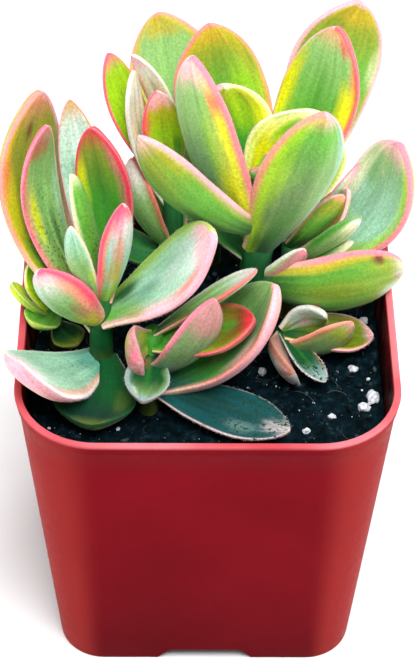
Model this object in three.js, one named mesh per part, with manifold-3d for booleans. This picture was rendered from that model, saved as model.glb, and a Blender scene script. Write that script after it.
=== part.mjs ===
import * as THREE from 'three';
import { mergeVertices } from 'three/addons/utils/BufferGeometryUtils.js';
import Module from 'manifold-3d';

// Potted variegated jade plant: a square nursery pot, its potting mix and nine leafy stems
// Millimetres, +Z up, origin at the centre of the pot's underside, front of the pot at -Y

// Pot
const potHeight = 62;
const potRimHalf = 32; // half of the outer width at the rim
const potBaseHalf = 26.25;
const potRimCorner = 13.5; // corner radius at the rim
const potBaseCorner = 8;
const potWall = 0.9;
const rimBandHeight = 2.4;
const rimBandProud = 0.35; // how far the rim band stands out of the wall
const edgeRadius = 0.35; // rounding of the rim and of the base edge
const floorUnder = 2.8; // height of the floor's underside
const floorThickness = 1.2;
const floorFillet = 1.5;
const padHalf = 8; // foot in the middle of the underside
const notchBottom = 19; // drainage notch in the middle of each side
const notchTop = 13;
const notchHeight = 2.6;
const notchFlare = 1; // how far the notch's corners are drawn out
const drainRadius = 2.5;
const drainOffset = 17;
const roundestShare = 0.3; // smallest corner radius of a section, as a share of its half width
const cornerSteps = 6;
const sideSteps = 4 * (cornerSteps + 1);

// Potting mix
const soilTop = 54;
const soilGap = 0.3; // clearance to the pot and to each stem
const soilRingShares = [0.93, 0.8, 0.64, 0.48, 0.32, 0.16]; // rings of its surface, by its half width
const crumbDip = 0.45; // deepest dip between crumbs
const grains = [
  // perlite grains on the surface: x, y, radius
  [28, -13, 1.3], [26.4, -15.4, 1], [9.4, -6.6, 0.8], [25, -6, 0.8], [27.4, 6, 0.9], [-23, 6, 0.8],
  [16.5, -20.5, 0.7], [21, -17, 0.6], [-3, 26, 0.9], [24, 24, 0.8], [-20, 20, 1], [-27.5, 12, 0.8],
];

// Stems
const rootDepth = 12; // how far a stem goes down into the potting mix
const stemSides = 10;
const stemTaper = 0.85;

// Leaves
const bigLeaf = { sides: 10, rings: 8 };
const smallLeaf = { sides: 8, rings: 6 };
const smallLeafLength = 19;
const leafDepth = 0.26; // thickness as a share of the leaf's width
const leafCrown = 0.15; // share of the thickness above the rim plane
const leafBaseShare = 0.4; // width at the base as a share of the full width
const leafWidest = 0.6; // place of the full width along the leaf

// Each leaf: height of its root on the stem, azimuth and elevation of its chord, length, width,
// roll about the chord, sag and upturned margins (both in percent)
const stems = {
  stem_left: {
    foot: [-18, -6], top: [-18, -5], height: 20, radius: 2.1,
    leaves: [
      [11.5, 114, 53, 39, 16.5, 32, 20, 10],
      [12.5, 126, 66, 34, 9, 16, 20, 6],
      [18, 103, 42, 32, 7.5, -18, 6, 10],
      [15, 96, 66, 30, 11, -38, 10, 8],
      [16.5, 132, 73, 23, 8, -132, 2, 30],
      [15, 189, 76, 18, 4.5, 64, 10, 20],
      [14.5, -7, 80, 23, 7, -40, 6, 30],
      [11.5, 182, 50, 15, 11.5, 60, 10, 30],
      [12, -11, 50, 29, 13.5, 22, 6, 0],
      [3, 237, 37, 27.5, 14, -12, 10, 0],
      [3, 215, 0, 12, 8, 0, 0, 8],
      [3.5, 266, 3, 18, 14, 0, 0, 8],
      [9, 110, 35, 18, 11, 0, 8, 8],
      [19, 20, 66, 8, 5, 0, 8, 12],
      [19, 200, 68, 7, 5, 0, 8, 12],
    ],
  },
  stem_left_bud: {
    foot: [-26, 0], top: [-26, 0], height: 9, radius: 1.3,
    leaves: [
      [7, 178, 45, 10, 6, 20, 6, 15],
      [7.5, 146, 60, 10, 6, 0, 6, 15],
      [8.5, 234, 10, 6, 7, 0, 6, 15],
      [5, 310, -5, 6, 6, 0, 6, 15],
    ],
  },
  stem_rear_left: {
    foot: [-6, 9], top: [-6, 11], height: 29, radius: 2,
    leaves: [
      [27.5, 97, 38, 29.5, 17, -30, 14, 0],
      [26.5, 141, 58, 25.5, 7.5, -4, 8, 6],
      [28.5, 144, 70, 23.5, 6.5, -85, 12, 10],
      [22, 150, 75, 27.5, 6, 6, 9, 10],
      [26, 140, 80, 19.5, 7, -34, 0, 14],
      [13.5, 149, 64, 18.5, 6.5, 88, 12, 12],
      [15, 110, 40, 17, 12, 0, 8, 10],
      [12, 185, 30, 13, 9, 0, 8, 10],
      [28, 20, 76, 5, 4, 0, 8, 12],
      [28, 215, 70, 7, 5, 0, 8, 12],
    ],
  },
  stem_centre: {
    foot: [7, 2], top: [9.5, 5], height: 34, radius: 2.8,
    leaves: [
      [21, 154, 70, 36.5, 14.5, 68, 6, 10],
      [23.5, 194, 49, 31.5, 9.5, 66, 13, 20],
      [27.5, 115, 49, 31.5, 17, 0, 13, 0],
      [26.5, 125, 59, 22.5, 15.5, -4, 10, 16],
      [25.5, 27, 61, 21, 17, 56, 4, 16],
      [19.5, 353, 72, 31.5, 15, -60, 5, 20],
      [26, 54, 53, 33.5, 16, -10, 10, 12],
      [13, 9, -1, 26, 13.5, -88, 12, 10],
      [12.5, 8, 36, 10.5, 7, -66, 10, 12],
      [17, 115, 30, 12, 11, 0, 8, 12],
      [32.5, 75, 62, 5, 5, 0, 8, 12],
      [32.5, 250, 70, 5, 5, 0, 8, 12],
    ],
  },
  stem_right_bud: {
    foot: [14, 8], top: [14, 8], height: 16, radius: 1.5,
    leaves: [
      [16, 18, 44, 13, 6.5, -82, 4, 16],
      [13, 10, 34, 14.5, 8, -56, 5, 18],
      [13, 0, 20, 11.5, 4, -8, 10, 12],
      [14.5, 23, 46, 15, 7, -16, 12, 8],
      [15, 38, 38, 19, 4.5, -72, 2, 16],
    ],
  },
  stem_rear_right: {
    foot: [17, 14], top: [17, 15], height: 24, radius: 2.2,
    leaves: [
      [24, 59, 59, 32, 16.5, 44, 11, 4],
      [6, 32, 47, 27, 19, -10, 14, 0],
      [16, 108, 58, 20, 12, 0, 8, 8],
      [14, 148, 45, 13, 11, 0, 8, 8],
      [9, 105, 25, 18, 11, 0, 8, 8],
      [8, 60, 20, 14, 10, 0, 8, 8],
      [23, 10, 66, 8, 5, 0, 8, 12],
      [23, 190, 70, 7, 5, 0, 8, 12],
    ],
  },
  stem_front: {
    foot: [-10, -15], top: [-9, -9], height: 12, radius: 1.8,
    leaves: [
      [10.5, 258, 13, 7.5, 10, -78, 20, 6],
      [9, 264, 4, 13, 7.5, -4, 4, 32],
      [6, 6, 56, 18.5, 9, -70, 14, 6],
      [10, -2, 21, 18, 11, 0, 5, 16],
      [3, 21, 37, 27.5, 15.5, -8, 16, 32],
      [11.5, 16, 30, 20.5, 6, -20, 0, 24],
      [4, 336, -2, 25.5, 10.5, 0, 2, 6],
    ],
  },
  stem_small_right: {
    foot: [13, -2], top: [13, -2], height: 5, radius: 1.4,
    leaves: [
      [5, 0, 24, 8, 8, 108, 14, 4],
      [2, 354, 30, 13.5, 7.5, -72, 14, 4],
      [5, 6, -8, 16, 9.5, 0, 0, 18],
      [3.5, 278, 15, 12, 9, -62, 8, 4],
      [5, 304, -8, 12.5, 4.5, -4, 2, 16],
    ],
  },
  stem_rear: {
    foot: [1, 22], top: [1, 22], height: 15, radius: 1.6,
    leaves: [
      [8, 60, 30, 14, 10, 0, 8, 12],
      [8, 220, 30, 10, 9, 0, 8, 12],
      [12, 130, 45, 17, 10, 0, 8, 12],
      [12, 310, 60, 9, 9, 0, 8, 12],
      [15, 60, 72, 14, 8, 0, 8, 12],
      [15, 240, 70, 7, 6, 0, 8, 12],
    ],
  },
};

const shortestEdge = 0.03; // shorter edges of a join are drawn together

const wasm = await Module();
wasm.setup();

// Solids

function toSolid(geometry) {
  geometry.deleteAttribute('normal');
  geometry.deleteAttribute('uv');
  const merged = mergeVertices(geometry, 1e-4);
  const index = merged.index.array;
  const triangles = [];
  for (let i = 0; i < index.length; i += 3) {
    const [a, b, c] = [index[i], index[i + 1], index[i + 2]];
    if (a !== b && b !== c && c !== a) triangles.push(a, b, c);
  }
  return new wasm.Manifold(new wasm.Mesh({
    numProp: 3,
    vertProperties: Float32Array.from(merged.attributes.position.array),
    triVerts: Uint32Array.from(triangles),
  }));
}

function toGeometry(solid) {
  const mesh = solid.getMesh();
  const geometry = new THREE.BufferGeometry();
  geometry.setAttribute('position', new THREE.BufferAttribute(Float32Array.from(mesh.vertProperties), 3));
  geometry.setIndex(Array.from(mesh.triVerts));
  geometry.computeVertexNormals();
  return geometry;
}

// The one body of a join, with no sealed hollow between its leaves and no loose scrap
function largestBody(solid) {
  const bodies = solid.simplify(shortestEdge).decompose();
  return bodies.reduce((best, body) => (body.volume() > best.volume() ? body : best));
}

function makeMesh(name, solid, colour, roughness) {
  const material = new THREE.MeshStandardMaterial({ color: colour, roughness, metalness: 0 });
  const mesh = new THREE.Mesh(toGeometry(solid), material);
  mesh.name = name;
  return mesh;
}

// Rounded square sections

function wallHalf(z) {
  return THREE.MathUtils.lerp(potBaseHalf, potRimHalf - rimBandProud, z / potHeight);
}

function wallCorner(z) {
  return THREE.MathUtils.lerp(potBaseCorner, potRimCorner, z / potHeight);
}

// A point of the rounded square of that half width: inner squares keep their corners round
function squarePoint(step, half, z) {
  const parallelCorner = wallCorner(z) - (wallHalf(z) - half);
  const corner = Math.min(half, Math.max(parallelCorner, roundestShare * half));
  const quarter = Math.floor(step / (cornerSteps + 1)) % 4;
  const turn = (quarter + (step % (cornerSteps + 1)) / cornerSteps) * (Math.PI / 2);
  const cornerTurn = (quarter + 0.5) * (Math.PI / 2);
  const centre = (half - corner) * Math.SQRT2;
  return [
    centre * Math.cos(cornerTurn) + corner * Math.cos(turn),
    centre * Math.sin(cornerTurn) + corner * Math.sin(turn),
  ];
}

// A lathe whose rings are rounded squares: the profile holds [half width, height]
function squareLathe(profile, heightAt = (x, y, z) => z) {
  const points = profile.map(([half, z]) => new THREE.Vector2(half, z));
  const geometry = new THREE.LatheGeometry(points, sideSteps);
  const position = geometry.attributes.position;
  for (let step = 0; step <= sideSteps; step += 1) {
    points.forEach((point, row) => {
      const [x, y] = squarePoint(step % sideSteps, point.x, point.y);
      position.setXYZ(step * points.length + row, x, y, heightAt(x, y, point.y));
    });
  }
  return geometry;
}

// Pot

function potProfile() {
  const bandBottom = potHeight - rimBandHeight;
  const innerHalf = (z) => wallHalf(z) - potWall;
  const floorTop = floorUnder + floorThickness;
  return [
    [0, floorTop],
    [innerHalf(floorTop) - floorFillet, floorTop],
    [innerHalf(floorTop + floorFillet), floorTop + floorFillet],
    [innerHalf(potHeight - edgeRadius), potHeight - edgeRadius],
    [innerHalf(potHeight) + edgeRadius, potHeight],
    [potRimHalf - edgeRadius, potHeight],
    [potRimHalf, potHeight - edgeRadius],
    [wallHalf(bandBottom) + rimBandProud, bandBottom + edgeRadius],
    [wallHalf(bandBottom), bandBottom],
    [wallHalf(2 * edgeRadius), 2 * edgeRadius],
    [potBaseHalf - edgeRadius, 0],
    [potBaseHalf - potWall, 0],
    [wallHalf(floorUnder) - potWall, floorUnder],
    [padHalf, floorUnder],
    [padHalf, 0],
    [0, 0],
  ].reverse();
}

function notchCutter() {
  const outline = new THREE.Shape();
  const shoulder = notchHeight - 0.4 * notchFlare;
  outline.moveTo(-notchBottom / 2 - notchFlare, -notchFlare);
  outline.lineTo(notchBottom / 2 + notchFlare, -notchFlare);
  outline.lineTo(notchBottom / 2, 0);
  outline.lineTo(notchTop / 2 + notchFlare, shoulder);
  outline.lineTo(notchTop / 2, notchHeight);
  outline.lineTo(-notchTop / 2, notchHeight);
  outline.lineTo(-notchTop / 2 - notchFlare, shoulder);
  outline.lineTo(-notchBottom / 2, 0);
  outline.closePath();
  const depth = 6 * potWall;
  const geometry = new THREE.ExtrudeGeometry(outline, { depth, bevelEnabled: false });
  geometry.rotateX(Math.PI / 2);
  geometry.translate(0, -potBaseHalf + depth / 2, 0);
  return geometry;
}

function potSolid() {
  let solid = toSolid(squareLathe(potProfile()));
  for (let side = 0; side < 4; side += 1) {
    const turn = (side * Math.PI) / 2;
    const notch = notchCutter();
    notch.rotateZ(turn);
    const drain = new THREE.CylinderGeometry(drainRadius, drainRadius, 4 * floorThickness, 12);
    drain.rotateX(Math.PI / 2);
    drain.translate(0, -drainOffset, floorUnder);
    drain.rotateZ(turn);
    solid = solid.subtract(toSolid(notch)).subtract(toSolid(drain));
  }
  return solid;
}

// Potting mix

function crumbHeight(x, y) {
  const coarse = Math.sin(0.55 * x + 1.3) * Math.sin(0.6 * y + 0.4);
  const fine = Math.sin(1.7 * x - 0.8 * y) * Math.sin(1.3 * y + 0.9 * x);
  return soilTop - crumbDip * (0.5 - 0.3 * coarse - 0.2 * fine);
}

function soilSolid() {
  const bottom = floorUnder + floorThickness + soilGap;
  const side = (z) => wallHalf(z) - potWall - soilGap;
  const surface = soilRingShares.map((share) => [share * side(soilTop), soilTop]);
  const profile = [
    [0, bottom],
    [side(bottom) - floorFillet, bottom],
    [side(bottom + floorFillet), bottom + floorFillet],
    [side(soilTop), soilTop],
    ...surface,
    [0, soilTop],
  ];
  const heightAt = (x, y, z) => (z < soilTop ? z : crumbHeight(x, y));
  let solid = toSolid(squareLathe(profile, heightAt));
  for (const [x, y, radius] of grains) {
    const grain = new THREE.IcosahedronGeometry(radius, 0);
    grain.rotateX(x).rotateZ(y);
    grain.translate(x, y, crumbHeight(x, y));
    solid = solid.add(toSolid(grain));
  }
  for (const stem of Object.values(stems)) {
    solid = solid.subtract(toSolid(stemHole(stem)));
  }
  return largestBody(solid);
}

// Stems

function stemHole(stem) {
  const depth = rootDepth + soilGap;
  const above = 3;
  const radius = stem.radius + 1.2 * soilGap;
  const hole = new THREE.CylinderGeometry(radius, radius, depth + above, stemSides);
  hole.rotateX(Math.PI / 2);
  hole.translate(stem.foot[0], stem.foot[1], soilTop + (above - depth) / 2);
  return hole;
}

function stemPoint(stem, height) {
  const share = Math.max(height, 0) / stem.height;
  return new THREE.Vector3(
    THREE.MathUtils.lerp(stem.foot[0], stem.top[0], share),
    THREE.MathUtils.lerp(stem.foot[1], stem.top[1], share),
    soilTop + height,
  );
}

function stemGeometry(stem) {
  const heights = [stem.height, stem.height / 2, 0, -rootDepth];
  const geometry = new THREE.CylinderGeometry(1, 1, heights.length - 1, stemSides, heights.length - 1);
  geometry.rotateX(Math.PI / 2);
  const position = geometry.attributes.position;
  const top = (heights.length - 1) / 2;
  for (let i = 0; i < position.count; i += 1) {
    const height = heights[Math.round(top - position.getZ(i))];
    const centre = stemPoint(stem, height);
    const radius = stem.radius * (height > 0 ? THREE.MathUtils.lerp(1, stemTaper, height / stem.height) : 1);
    position.setXYZ(i, centre.x + radius * position.getX(i), centre.y + radius * position.getY(i), centre.z);
  }
  return geometry;
}

// Leaves

// Share of the full width: it widens to leafWidest and then rounds off to the tip
function widthShare(along) {
  if (along <= leafWidest) {
    const rise = Math.sin((Math.PI / 2) * (along / leafWidest));
    return leafBaseShare + (1 - leafBaseShare) * rise ** 1.3;
  }
  const past = (along - leafWidest) / (1 - leafWidest);
  return Math.max(1 - past ** 2.2, 0) ** 0.7;
}

function leafGeometry(stem, [height, azimuth, elevation, length, width, roll, sag, fold]) {
  const turn = THREE.MathUtils.degToRad(azimuth);
  const rise = THREE.MathUtils.degToRad(elevation);
  const twist = THREE.MathUtils.degToRad(roll);
  const root = stemPoint(stem, height);
  const upAxis = new THREE.Vector3(0, 0, 1);
  const chord = new THREE.Vector3(Math.cos(rise), 0, Math.sin(rise)).applyAxisAngle(upAxis, turn);
  const upright = new THREE.Vector3(-Math.sin(rise), 0, Math.cos(rise)).applyAxisAngle(upAxis, turn);
  const face = upright.clone().applyAxisAngle(chord, twist); // the way the upper face looks
  const side = chord.clone().cross(face);
  const drop = (sag / 100) * length;

  const { sides, rings } = length < smallLeafLength ? smallLeaf : bigLeaf;
  const geometry = new THREE.SphereGeometry(1, sides, rings);
  const position = geometry.attributes.position;
  const point = new THREE.Vector3();
  const tangent = new THREE.Vector3();
  const out = new THREE.Vector3();
  for (let i = 0; i < position.count; i += 1) {
    const along = (1 + position.getY(i)) / 2; // 0 at the root, 1 at the tip
    const ring = Math.hypot(position.getX(i), position.getZ(i));
    const pole = ring < 1e-6;
    const across = pole ? 0 : position.getX(i) / ring;
    const share = pole ? 0 : widthShare(along);
    const halfWidth = (width / 2) * share;
    const depth = leafDepth * width * Math.sqrt(share);
    const edge = Math.abs(across);
    const lift = (fold / 100) * halfWidth * edge ** 1.6;
    const upper = leafCrown * depth * (1 - edge ** 2);
    const lower = -(1 - leafCrown) * depth * Math.max(1 - edge ** 2.4, 0) ** 0.6;
    tangent.copy(chord).multiplyScalar(length).addScaledVector(face, -4 * drop * (1 - 2 * along)).normalize();
    out.copy(face).addScaledVector(tangent, -face.dot(tangent)).normalize();
    point.copy(root)
      .addScaledVector(chord, length * along)
      .addScaledVector(face, -4 * drop * along * (1 - along))
      .addScaledVector(side, halfWidth * across)
      .addScaledVector(out, lift + (position.getZ(i) >= 0 ? upper : lower));
    position.setXYZ(i, point.x, point.y, point.z);
  }
  return geometry;
}

function leafyStem(stem) {
  const leaves = stem.leaves.map((leaf) => toSolid(leafGeometry(stem, leaf)));
  return largestBody(leaves.reduce((joined, leaf) => joined.add(leaf), toSolid(stemGeometry(stem))));
}

const pottedPlant = new THREE.Group();
pottedPlant.add(makeMesh('pot', potSolid(), 0xb02034, 0.42));
pottedPlant.add(makeMesh('potting_mix', soilSolid(), 0x17191a, 0.95));
for (const [name, stem] of Object.entries(stems)) {
  pottedPlant.add(makeMesh(name, leafyStem(stem), 0x8fb06a, 0.5));
}

export default pottedPlant;
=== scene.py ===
import math
import random

import bpy
from mathutils import Matrix, Vector, noise


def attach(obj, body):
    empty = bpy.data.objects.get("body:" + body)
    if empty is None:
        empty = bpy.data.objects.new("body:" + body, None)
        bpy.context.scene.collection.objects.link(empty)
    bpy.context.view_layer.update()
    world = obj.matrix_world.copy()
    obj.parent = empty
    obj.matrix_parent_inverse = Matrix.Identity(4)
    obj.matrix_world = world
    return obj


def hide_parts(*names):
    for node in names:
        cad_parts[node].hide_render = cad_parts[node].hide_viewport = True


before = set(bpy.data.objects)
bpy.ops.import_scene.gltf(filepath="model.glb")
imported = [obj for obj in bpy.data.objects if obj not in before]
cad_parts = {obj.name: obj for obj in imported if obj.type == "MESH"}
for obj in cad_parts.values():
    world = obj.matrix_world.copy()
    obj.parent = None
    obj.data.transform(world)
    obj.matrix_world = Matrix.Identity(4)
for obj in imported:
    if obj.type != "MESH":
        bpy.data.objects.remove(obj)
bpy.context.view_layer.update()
bpy.ops.object.select_all(action="DESELECT")
print("frame loaded:", len(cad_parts), "CAD nodes")

mm = 0.001


# Small tools

def srgb(red, green, blue):  # a colour as seen, turned linear
    def linear(value):
        share = value / 255
        return share / 12.92 if share <= 0.04045 else ((share + 0.055) / 1.055) ** 2.4
    return Vector((linear(red), linear(green), linear(blue)))


def smooth(low, high, value):
    share = min(max((value - low) / (high - low), 0), 1)
    return share * share * (3 - 2 * share)


def mix(first, second, share):
    return first + (second - first) * share


def points(mesh):
    return [vertex.co.copy() for vertex in mesh.vertices]


def setPoints(mesh, places):
    mesh.vertices.foreach_set("co", [value for place in places for value in place])
    mesh.update()


def deselectAll():
    bpy.ops.object.select_all(action="DESELECT")


def addObject(name, data):
    piece = bpy.data.objects.new(name, data)
    bpy.context.scene.collection.objects.link(piece)
    return piece


def takePrimitive(name):  # the primitive just added, by its new name
    piece = bpy.context.active_object
    piece.name = name
    piece.data.name = name
    return piece


def editAll(*steps):
    bpy.ops.object.mode_set(mode="EDIT")
    bpy.ops.mesh.select_all(action="SELECT")
    for step in steps:
        step()
    bpy.ops.object.mode_set(mode="OBJECT")


def sliceAcross(parts):  # cuts the primitive in use into slices of equal height
    for cut in range(1, parts):
        level = cut / parts - 0.5
        editAll(lambda: bpy.ops.mesh.bisect(plane_co=(0, 0, level), plane_no=(0, 0, 1)))


def joinPieces(pieces, name):
    deselectAll()
    for piece in pieces:
        piece.select_set(True)
    bpy.context.view_layer.objects.active = pieces[0]
    bpy.ops.object.join()
    joined = takePrimitive(name)
    deselectAll()
    return joined


def applyModifiers(piece):
    bpy.context.view_layer.objects.active = piece
    for modifier in list(piece.modifiers):
        bpy.ops.object.modifier_apply(modifier=modifier.name)


def shadeSmooth(piece):
    piece.data.polygons.foreach_set("use_smooth", [True] * len(piece.data.polygons))


# Materials: every one starts from this and adds its own nodes

def newMaterial(name, **values):
    material = bpy.data.materials.new(name)
    material.use_nodes = True
    shader = material.node_tree.nodes["Principled BSDF"]
    for socket, value in values.items():
        shader.inputs[socket.replace("_", " ")].default_value = value
    return material, material.node_tree.nodes, material.node_tree.links, shader


def noiseNode(nodes, links, scale, detail=3.0, stretch=None):
    place = nodes.new("ShaderNodeTexCoord")
    mapping = nodes.new("ShaderNodeMapping")
    mapping.inputs["Scale"].default_value = stretch or (1, 1, 1)
    texture = nodes.new("ShaderNodeTexNoise")
    texture.inputs["Scale"].default_value = scale
    texture.inputs["Detail"].default_value = detail
    links.new(place.outputs["Object"], mapping.inputs["Vector"])
    links.new(mapping.outputs["Vector"], texture.inputs["Vector"])
    return texture


def rampNode(nodes, links, source, stops):
    ramp = nodes.new("ShaderNodeValToRGB")
    elements = ramp.color_ramp.elements
    while len(elements) < len(stops):
        elements.new(0.5)
    for element, (position, colour) in zip(elements, stops):
        element.position = position
        element.color = (*colour, 1) if hasattr(colour, "__len__") else (colour, colour, colour, 1)
    links.new(source, ramp.inputs["Fac"])
    return ramp


def bumpNode(nodes, links, source, shader, strength, distance):
    bump = nodes.new("ShaderNodeBump")
    bump.inputs["Strength"].default_value = strength
    bump.inputs["Distance"].default_value = distance
    links.new(source, bump.inputs["Height"])
    links.new(bump.outputs["Normal"], shader.inputs["Normal"])


def blendNode(nodes, links, first, second, blend="MULTIPLY", share=1.0):
    node = nodes.new("ShaderNodeMix")
    node.data_type = "RGBA"
    node.blend_type = blend
    links.new(first, node.inputs["A"])
    if hasattr(second, "links"):
        links.new(second, node.inputs["B"])
    else:
        node.inputs["B"].default_value = (*second, 1)
    if hasattr(share, "links"):
        links.new(share, node.inputs["Factor"])
    else:
        node.inputs["Factor"].default_value = share
    return node.outputs["Result"]


def attributeNode(nodes, name):
    node = nodes.new("ShaderNodeAttribute")
    node.attribute_name = name
    return node


def leafMaterial():
    material, nodes, links, shader = newMaterial(
        "velvetLeaf", Roughness=0.5, Subsurface_Weight=0.1, Subsurface_Scale=1 * mm,
        Sheen_Weight=0.12, Sheen_Roughness=0.4, Specular_IOR_Level=0.2)
    shader.inputs["Subsurface Radius"].default_value = (1.0, 0.9, 0.4)
    paint = attributeNode(nodes, "leafColour")
    along = nodes.new("ShaderNodeMapping")  # streaks run from root to tip
    along.inputs["Scale"].default_value = (0.14, 1, 1)
    links.new(attributeNode(nodes, "leafPlace").outputs["Vector"], along.inputs["Vector"])
    streak = nodes.new("ShaderNodeTexNoise")
    streak.inputs["Scale"].default_value = 1100
    streak.inputs["Detail"].default_value = 3
    links.new(along.outputs["Vector"], streak.inputs["Vector"])
    grain = noiseNode(nodes, links, 2300, detail=2)
    dots = noiseNode(nodes, links, 1900, detail=1)
    streakTone = rampNode(nodes, links, streak.outputs["Fac"], [
        (0.32, (0.8, 0.88, 0.78)), (0.66, (1.08, 1.05, 1.08))])
    grainTone = rampNode(nodes, links, grain.outputs["Fac"], [(0.32, 0.84), (0.68, 1.12)])
    dotMask = rampNode(nodes, links, dots.outputs["Fac"], [(0.57, 0), (0.64, 1)])
    share = nodes.new("ShaderNodeMath")
    share.operation = "MULTIPLY"
    links.new(dotMask.outputs["Color"], share.inputs[0])
    links.new(paint.outputs["Alpha"], share.inputs[1])
    colour = blendNode(nodes, links, paint.outputs["Color"], streakTone.outputs["Color"])
    colour = blendNode(nodes, links, colour, grainTone.outputs["Color"])
    colour = blendNode(nodes, links, colour, srgb(24, 52, 34), "MIX", share.outputs["Value"])
    links.new(colour, shader.inputs["Base Color"])
    bumpNode(nodes, links, grain.outputs["Fac"], shader, 0.4, 0.08 * mm)
    return material


def grainyMaterial(name, scale, detail, stops, bump=None, stretch=None, painted=False, **values):
    material, nodes, links, shader = newMaterial(name, **values)
    grain = noiseNode(nodes, links, scale, detail, stretch)
    colour = rampNode(nodes, links, grain.outputs["Fac"], stops).outputs["Color"]
    if painted:  # the grain shades the colours that the mesh holds
        paint = attributeNode(nodes, "leafColour")
        colour = blendNode(nodes, links, paint.outputs["Color"], colour)
    links.new(colour, shader.inputs["Base Color"])
    if bump:
        bumpNode(nodes, links, grain.outputs["Fac"], shader, *bump)
    return material


def heightNode(nodes, links, low, high):  # a share that grows with the height
    place = nodes.new("ShaderNodeTexCoord")
    split = nodes.new("ShaderNodeSeparateXYZ")
    links.new(place.outputs["Object"], split.inputs["Vector"])
    share = nodes.new("ShaderNodeMapRange")
    share.inputs["From Min"].default_value = low
    share.inputs["From Max"].default_value = high
    links.new(split.outputs["Z"], share.inputs["Value"])
    return share.outputs["Result"]


def potMaterial():
    material, nodes, links, shader = newMaterial("redPlastic", Roughness=0.45, Specular_IOR_Level=0.02)
    cloud = noiseNode(nodes, links, 38, detail=3)
    wall = rampNode(nodes, links, cloud.outputs["Fac"], [
        (0.3, srgb(112, 3, 17)), (0.7, srgb(128, 7, 23))])
    # painted highlight: the top of the rim is a paler pink, with soft pale blotches
    rim = rampNode(nodes, links, cloud.outputs["Fac"], [
        (0.42, srgb(190, 70, 78)), (0.62, srgb(222, 124, 132))])
    band = heightNode(nodes, links, *(potForm["height"] - depth for depth in potForm["rimHighlight"]))
    # painted shade: the wall is darker towards the bottom
    foot = heightNode(nodes, links, *potForm["footShade"])
    colour = blendNode(nodes, links, wall.outputs["Color"], srgb(204, 204, 204))
    colour = blendNode(nodes, links, colour, wall.outputs["Color"], "MIX", foot)
    # painted highlight: the outer corners turn a paler orange red
    corner = attributeNode(nodes, "corner").outputs["Fac"]
    colour = blendNode(nodes, links, colour, srgb(168, 50, 44), "MIX", corner)
    colour = blendNode(nodes, links, colour, rim.outputs["Color"], "MIX", band)
    soil = noiseNode(nodes, links, 330, detail=5, stretch=(1, 1, 0.22))
    stain = rampNode(nodes, links, soil.outputs["Fac"], [
        (0.44, srgb(16, 12, 14)), (0.66, srgb(104, 34, 34))])
    stained = attributeNode(nodes, "stain").outputs["Fac"]
    colour = blendNode(nodes, links, colour, stain.outputs["Color"], "MIX", stained)
    links.new(colour, shader.inputs["Base Color"])
    scuff = noiseNode(nodes, links, 800, detail=5)
    rough = rampNode(nodes, links, scuff.outputs["Fac"], [(0.35, 0.4), (0.75, 0.55)])
    links.new(rough.outputs["Color"], shader.inputs["Roughness"])
    bumpNode(nodes, links, scuff.outputs["Fac"], shader, 0.1, 0.04 * mm)
    return material


velvetLeaf = leafMaterial()
leafFuzz = grainyMaterial(
    "leafFuzz", 300, 1, [(0.3, 0.86), (0.7, 1.0)], painted=True, Roughness=0.7, Specular_IOR_Level=0.1)
stemSkin = grainyMaterial(
    "stemSkin", 900, 4, [(0.3, 0.7), (0.7, 1.2)], bump=(0.5, 0.15 * mm), stretch=(1, 1, 0.25),
    painted=True, Roughness=0.6, Specular_IOR_Level=0.2)
dampPeat = grainyMaterial(
    "dampPeat", 700, 6, [(0.36, srgb(0, 8, 12)), (0.6, srgb(4, 25, 32)), (0.78, srgb(34, 54, 60))],
    bump=(0.8, 0.4 * mm), Roughness=0.9, Specular_IOR_Level=0.06)
peatCrumb = grainyMaterial(
    "peatCrumb", 420, 4, [(0.36, srgb(1, 12, 17)), (0.58, srgb(14, 36, 44)), (0.76, srgb(84, 96, 100))],
    bump=(0.6, 0.2 * mm), Roughness=0.85, Specular_IOR_Level=0.12)
peatFibre = grainyMaterial(
    "peatFibre", 90, 2, [(0.35, srgb(14, 26, 30)), (0.68, srgb(92, 92, 82))],
    Roughness=0.8, Specular_IOR_Level=0.15)
perliteWhite = grainyMaterial(
    "perlite", 1800, 4, [(0.3, srgb(150, 160, 175)), (0.6, srgb(228, 228, 232))],
    bump=(0.8, 0.2 * mm), Roughness=0.7, Subsurface_Weight=0.2, Subsurface_Scale=0.6 * mm)
print("materials made")


# Pot and potting mix: rounded squares that widen upwards

potForm = {
    "height": 62 * mm, "rimHalf": 32 * mm, "baseHalf": 26.25 * mm, "rimCorner": 13.5 * mm,
    "baseCorner": 8 * mm, "wall": 0.9 * mm, "bandHeight": 2.4 * mm, "bandProud": 0.35 * mm,
    "floorUnder": 2.8 * mm, "floorThickness": 1.2 * mm, "padHalf": 8 * mm, "edge": 0.35 * mm,
    "fillet": 1.5 * mm, "roundest": 0.3,  # smallest corner radius, as a share of the half width
    "notchBottom": 19 * mm, "notchTop": 13 * mm, "notchHeight": 2.6 * mm, "notchRound": 1.1 * mm,
    "drainRadius": 2.5 * mm, "drainOffset": 17 * mm, "cutDepth": 5 * mm,
    "cornerSteps": 14, "sideSteps": 6, "wallRows": 12, "smoothAngle": 35,
    # the pale band at the rim is a painted highlight, the darker foot painted shade, the paler outer
    # corners a painted highlight
    "rimHighlight": (0.7 * mm, 0.1 * mm), "stainRim": (2.6 * mm, 1 * mm),  # depths below the rim
    "footShade": (-6 * mm, 36 * mm), "cornerHighlight": 0.5,
}
ringSteps = 4 * (potForm["cornerSteps"] + potForm["sideSteps"])
redPlastic = potMaterial()


def wallHalf(height):
    outer = potForm["rimHalf"] - potForm["bandProud"]
    return mix(potForm["baseHalf"], outer, height / potForm["height"])


def wallCorner(height):
    return mix(potForm["baseCorner"], potForm["rimCorner"], height / potForm["height"])


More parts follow.
